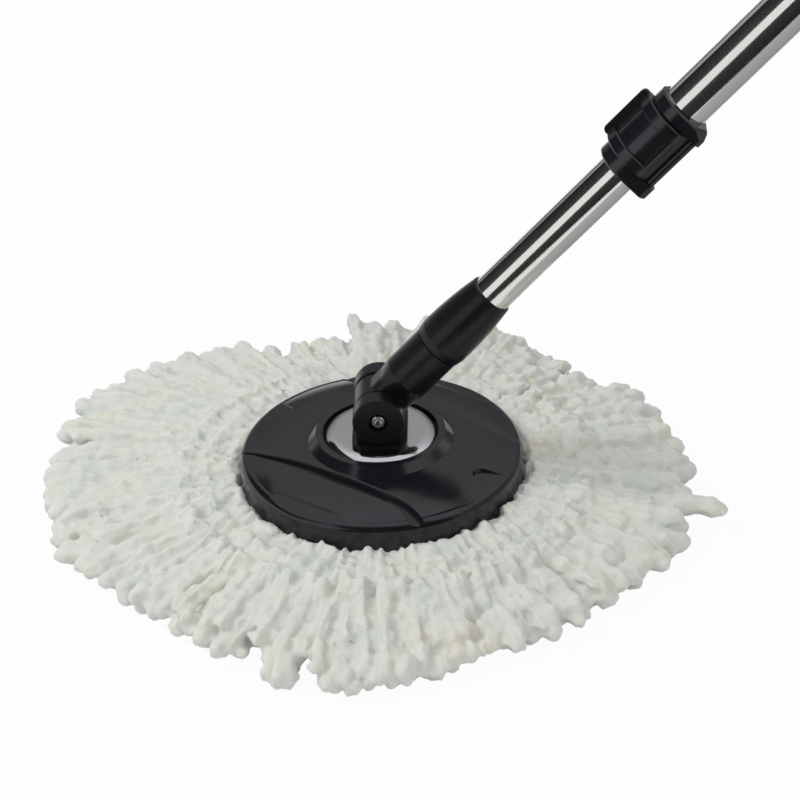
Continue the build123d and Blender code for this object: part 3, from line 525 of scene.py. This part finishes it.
# Width in metres, heights of the root, the crest and the tip, the share of the way to the crest, and how the
# strand falls from there: below 1 it drops at once, above 1 it stays up and drops at the end.
strand_kinds = {
    "floor": {
        "width": 0.0130, "root": 0.0200, "crest": 0.0195, "crest_at": 0.05, "tip": 0.0079, "fall": 0.40,
    },
    "middle": {
        "width": 0.0125, "root": 0.0204, "crest": 0.0216, "crest_at": 0.11, "tip": 0.0112, "fall": 0.66,
    },
    "upper": {
        "width": 0.0115, "root": 0.0208, "crest": 0.0240, "crest_at": 0.15, "tip": 0.0150, "fall": 0.90,
    },
    "crown": {
        "width": 0.0105, "root": 0.0210, "crest": 0.0262, "crest_at": 0.20, "tip": 0.0185, "fall": 1.10,
    },
    "loop": {
        "width": 0.0088, "root": 0.0215, "crest": 0.0294, "crest_at": 0.50, "tip": 0.0225, "fall": 1.60,
    },
}


def strand_height(kind, share):
    """Height of a strand's middle line at a share of the way from its root to its tip."""
    shape = strand_kinds[kind]
    if share < shape["crest_at"]:
        climb = share / shape["crest_at"]
        return shape["root"] + (shape["crest"] - shape["root"]) * climb ** 2 * (3 - 2 * climb)
    drop = (share - shape["crest_at"]) / (1 - shape["crest_at"])
    return shape["crest"] + (shape["tip"] - shape["crest"]) * drop ** shape["fall"]


print("kinds of strand:", ", ".join(strand_kinds))


# %% Model the strands
def model_strand(name, kind, seed):
    """A lumpy strand that runs out along +X from its root."""
    dice = random.Random(seed)
    strand_width = strand_kinds[kind]["width"]
    middle = Vector((0, 0, strand_height(kind, 0)))
    swell = root_swell
    bpy.ops.object.select_all(action="DESELECT")
    bpy.ops.mesh.primitive_circle_add(
        vertices=strand_sides,
        radius=strand_width / 2 * swell,
        fill_type="NGON",
        location=middle,
        rotation=(0, math.radians(90), 0),
    )
    strand = bpy.context.object
    strand.name = name
    bpy.ops.object.transform_apply(location=True, rotation=True, scale=True)
    bpy.ops.object.mode_set(mode="EDIT")
    bpy.ops.mesh.select_mode(type="FACE")
    bpy.ops.mesh.select_all(action="SELECT")
    for ring_number in range(1, 2 * bead_count + 1):
        share = (ring_number / (2 * bead_count)) ** bead_crowding
        side = sway_kept * middle.y + dice.uniform(-1, 1) * sway
        height = strand_height(kind, share) + dice.uniform(-1, 1) * wobble
        ring = Vector((share * unit_length, side, height))
        bpy.ops.mesh.extrude_region_move(TRANSFORM_OT_translate={"value": ring - middle})
        fuller = bead_neck if ring_number % 2 == 0 else bead_belly
        fuller = fuller * (1 + dice.uniform(-lump, lump))
        if ring_number == 2 * bead_count:
            fuller = tip_swell
        growth = fuller / swell
        bpy.ops.transform.resize(value=(1, growth, growth), center_override=ring)
        middle = ring
        swell = fuller
    bpy.ops.mesh.extrude_region_move(TRANSFORM_OT_translate={"value": (tip_length, 0, 0)})
    blunt = tip_end / tip_swell
    bpy.ops.transform.resize(value=(1, blunt, blunt), center_override=middle + Vector((tip_length, 0, 0)))
    bpy.ops.mesh.select_all(action="SELECT")
    bpy.ops.mesh.normals_make_consistent(inside=False)
    bpy.ops.object.mode_set(mode="OBJECT")
    return strand


masters_per_kind = 10
masters = {}
for row, kind in enumerate(strand_kinds):
    masters[kind] = [
        model_strand(f"strand_{kind}_{number}", kind, masters_per_kind * row + number)
        for number in range(masters_per_kind)
    ]
print("strands modelled:", sum(len(kind) for kind in masters.values()),
      "faces each:", len(masters["floor"][0].data.polygons))

# %% [markdown]
# ## Lay the pile
# The ring of strands isn't a true circle: it is longest at the back left and shortest at the front. The reach
# below is the radius of the pile every 15 degrees, and each strand is stretched to it, with a seeded throw of
# dice so that no two neighbours end together. Neighbours also lean the same way in loose tufts, and at the
# back a few tips stand up. A particle system could scatter the strands, but laying them one by one keeps
# each within its reach.

# %% Reach of the pile
reach_step = 15
reach_front = (0.189, 0.185, 0.168, 0.158, 0.160, 0.174, 0.168, 0.164, 0.160, 0.161, 0.163, 0.172)
reach_back = (0.170, 0.175, 0.176, 0.163, 0.178, 0.188, 0.178, 0.166, 0.176, 0.198, 0.209, 0.195)
reach_from_left = (*reach_front, *reach_back, reach_front[0])


def reach_at(angle):
    """Radius of the pile at an angle in degrees, where 0 is under the handle."""
    place = (angle + 180) % 360 / reach_step
    low = int(place)
    return reach_from_left[low] + (reach_from_left[low + 1] - reach_from_left[low]) * (place - low)


print("reach of the pile:", min(reach_from_left), "to", max(reach_from_left))

# %% Lay one strand
tuft_lean = 5.0
tuft_count = 7
own_lean = 6
own_lift = 0.0012


def lay_strand(kind, angle, reach, tilt, start, dice):
    """A copy of one of the modelled strands, turned to its angle, tilted up and stretched to its reach."""
    master = dice.choice(masters[kind])
    strand = master.copy()
    strand.data = master.data.copy()
    bpy.context.scene.collection.objects.link(strand)
    stretch = (reach - start) / unit_length
    flip = dice.choice((1, -1))
    lean = tuft_lean * math.sin(math.radians(tuft_count * angle)) + dice.uniform(-own_lean, own_lean)
    lift = dice.uniform(0, 1) * own_lift
    strand.matrix_world = (
        Matrix.Rotation(math.radians(angle), 4, "Z")
        @ Matrix.Translation((start, 0, lift))
        @ Matrix.Rotation(math.radians(lean), 4, "Z")
        @ Matrix.Rotation(math.radians(-tilt), 4, "Y")
        @ Matrix.Diagonal((stretch, flip, 1, 1))
    )
    return strand


print("tufts round the head:", tuft_count)

# %% Lay the strands
# For each kind: how many there are, how far they end short of the pile's reach, how unevenly, and the tilt at
# the back in degrees.
layers = {
    "floor": (130, 0.003, 0.009, 0.0),
    "middle": (136, 0.003, 0.011, 0.0),
    "upper": (140, 0.006, 0.016, 1.0),
    "crown": (140, 0.014, 0.028, 3.2),
}
layer_jitter = (0.1, 0.9)
longest = 0.35
# Rows of loops beside the skirt: how many, and how far from the middle they start and end
loop_rows = ((62, 0.0735, 0.0935), (66, 0.0870, 0.1070), (70, 0.1000, 0.1210))
loop_jitter = (0.3, 0.7)
loop_scatter = 0.003
# Single strands that stand out of the pile: angle, reach and tilt
strays = ((-7, 0.189, 0), (100, 0.160, 12), (97, 0.156, 13), (94, 0.150, 12), (89, 0.148, 9), (62, 0.164, 4))
pile_seed = 7
first_angle = -45
quarter_names = ("right", "back", "left", "front")

dice = random.Random(pile_seed)
quarters = {name: [] for name in quarter_names}


def keep_strand(kind, angle, reach, tilt, start=root_reach):
    """Lay one strand and note it with its quarter of the ring."""
    strand = lay_strand(kind, angle, reach, tilt, start, dice)
    quarters[quarter_names[int(((angle - first_angle) % 360) // 90)]].append(strand)


for kind, (count, short, scatter, back_tilt) in layers.items():
    for number in range(count):
        angle = (number + dice.uniform(*layer_jitter)) * 360 / count + first_angle
        reach = reach_at(angle) - short + dice.uniform(-1, longest) * scatter
        tilt = back_tilt * dice.uniform(0, 1) ** 2 * max(math.sin(math.radians(angle)), 0)
        keep_strand(kind, angle, reach, tilt)
for angle, reach, tilt in strays:
    keep_strand("upper", angle, reach, tilt)
for count, start, end in loop_rows:
    for number in range(count):
        angle = (number + dice.uniform(*loop_jitter)) * 360 / count + first_angle
        keep_strand("loop", angle, end + dice.uniform(-loop_scatter, loop_scatter), 0, start)

for kind in masters.values():
    for master in kind:
        bpy.data.objects.remove(master)
print("strands laid:", sum(len(strands) for strands in quarters.values()))

# %% [markdown]
# ## Backing and quarters
# The strands are sewn to a flat ring under the plate. A quarter of it is a small rectangle spun through a
# right angle. Joined with its strands, it makes one quarter of the soft ring, which takes the place of the
# plain CAD quarter. Separate tubes would look like fingers, but chenille clings together, so a voxel remesh
# melts the strands into one skin. Then three Displace modifiers draw the strands again by a pattern that runs
# along them, and raise the tufts and the small loops of the yarn. A little smoothing keeps them round.

# %% Backing ring
backing_inner = 0.0580
backing_outer = 0.0762
backing_low = 0.0200
backing_high = 0.0264
backing_steps = 12
merge_distance = 0.00001


def spin_backing(name, start_angle):
    """A quarter of the flat backing ring, from its section at the start angle."""
    bpy.ops.object.select_all(action="DESELECT")
    bpy.ops.mesh.primitive_plane_add(size=1, rotation=(math.radians(90), 0, 0))
    backing = bpy.context.object
    backing.name = name
    backing.scale = (backing_outer - backing_inner, backing_high - backing_low, 1)
    backing.location = ((backing_outer + backing_inner) / 2, 0, (backing_high + backing_low) / 2)
    bpy.ops.object.transform_apply(location=True, rotation=True, scale=True)
    backing.rotation_euler.z = math.radians(start_angle)
    bpy.ops.object.transform_apply(location=False, rotation=True, scale=False)
    bpy.ops.object.mode_set(mode="EDIT")
    bpy.ops.mesh.select_all(action="SELECT")
    bpy.ops.mesh.spin(steps=backing_steps, angle=math.radians(90), center=(0, 0, 0), axis=(0, 0, 1))
    bpy.ops.mesh.select_all(action="SELECT")
    bpy.ops.mesh.remove_doubles(threshold=merge_distance)
    bpy.ops.mesh.normals_make_consistent(inside=False)
    bpy.ops.object.mode_set(mode="OBJECT")
    return backing


print("backing ring:", backing_inner, "to", backing_outer)

# %% Patterns of the yarn
# The strand lines have their width at this distance from the middle, and widen further out.
line_reach = 0.130
line_width = 0.0078
line_length = 0.058
tuft_size = 0.0090
bead_size = 0.0060
# Displace reads a UV map at twice its size, so the map is made at half.
map_share = 0.5


def swell_texture(name, pattern, size):
    """A procedural pattern of a given size, for a Displace modifier."""
    texture = bpy.data.textures.new(name, pattern)
    texture.noise_scale = size
    return texture


def comb(pile, middle_angle):
    """Give a quarter a map that runs across the strands and along them, in widths and lengths of a strand."""
    lines = pile.data.uv_layers.new(name="strand_lines")
    turn_back = Matrix.Rotation(math.radians(-middle_angle), 3, "Z")
    spots = [turn_back @ vertex.co for vertex in pile.data.vertices]
    places = []
    for spot in spots:
        across = math.atan2(spot.y, spot.x) * line_reach / line_width
        along = math.hypot(spot.x, spot.y) / line_length
        places.append((map_share * across, map_share * along))
    for corner in pile.data.loops:
        lines.data[corner.index].uv = places[corner.vertex_index]
    return lines


tufts = swell_texture("chenille_tufts", "CLOUDS", tuft_size)
strand_lines = swell_texture("strand_lines", "CLOUDS", 1.0)
strand_lines.noise_type = "HARD_NOISE"
strand_lines.noise_depth = 1
beads = swell_texture("chenille_beads", "VORONOI", bead_size)
print("patterns ready:", tufts.name, strand_lines.name, beads.name)

# %% Melt and ruffle
voxel = 0.0012
line_height = 0.0052
line_level = 0.22
tuft_height = 0.0013
tuft_level = 0.5
bead_height = 0.0014
bead_level = 0.4


def apply_modifier(piece, kind, **settings):
    """Add a modifier to the active piece, set it up and apply it."""
    modifier = piece.modifiers.new(kind.lower(), kind)
    for name, value in settings.items():
        setattr(modifier, name, value)
    bpy.ops.object.modifier_apply(modifier=modifier.name)


def ruffle(pile, middle_angle):
    """Melt the joined strands into one skin and raise the relief of the yarn on it."""
    apply_modifier(pile, "REMESH", mode="VOXEL", voxel_size=voxel)
    apply_modifier(pile, "SMOOTH", factor=0.5, iterations=2)
    lines = comb(pile, middle_angle)
    apply_modifier(pile, "DISPLACE", texture=strand_lines, texture_coords="UV", uv_layer=lines.name,
                   strength=-line_height, mid_level=line_level)
    apply_modifier(pile, "SMOOTH", factor=0.5, iterations=1)
    pile.data.uv_layers.remove(pile.data.uv_layers["strand_lines"])
    apply_modifier(pile, "DISPLACE", texture=tufts, texture_coords="LOCAL",
                   strength=tuft_height, mid_level=tuft_level)
    apply_modifier(pile, "DISPLACE", texture=beads, texture_coords="LOCAL",
                   strength=-bead_height, mid_level=bead_level)
    apply_modifier(pile, "SMOOTH", factor=0.4, iterations=1)
    bpy.ops.object.shade_smooth()


for number, (quarter, strands) in enumerate(quarters.items()):
    middle_angle = 90 * number
    pile = spin_backing(f"pile_{quarter}", middle_angle + first_angle)
    bpy.ops.object.select_all(action="DESELECT")
    for strand in strands:
        strand.select_set(True)
    pile.select_set(True)
    bpy.context.view_layer.objects.active = pile
    bpy.ops.object.join()
    ruffle(pile, middle_angle)
    pile.data.materials.append(microfibre)
    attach(pile, "head")
    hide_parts(f"strands_{quarter}")
    print(pile.name, "strands", len(strands), "faces", len(pile.data.polygons))

# %% [markdown]
# ## View transform
# The picture uses the Standard view transform.

# %% Set the view transform
bpy.context.scene.view_settings.view_transform = "Standard"
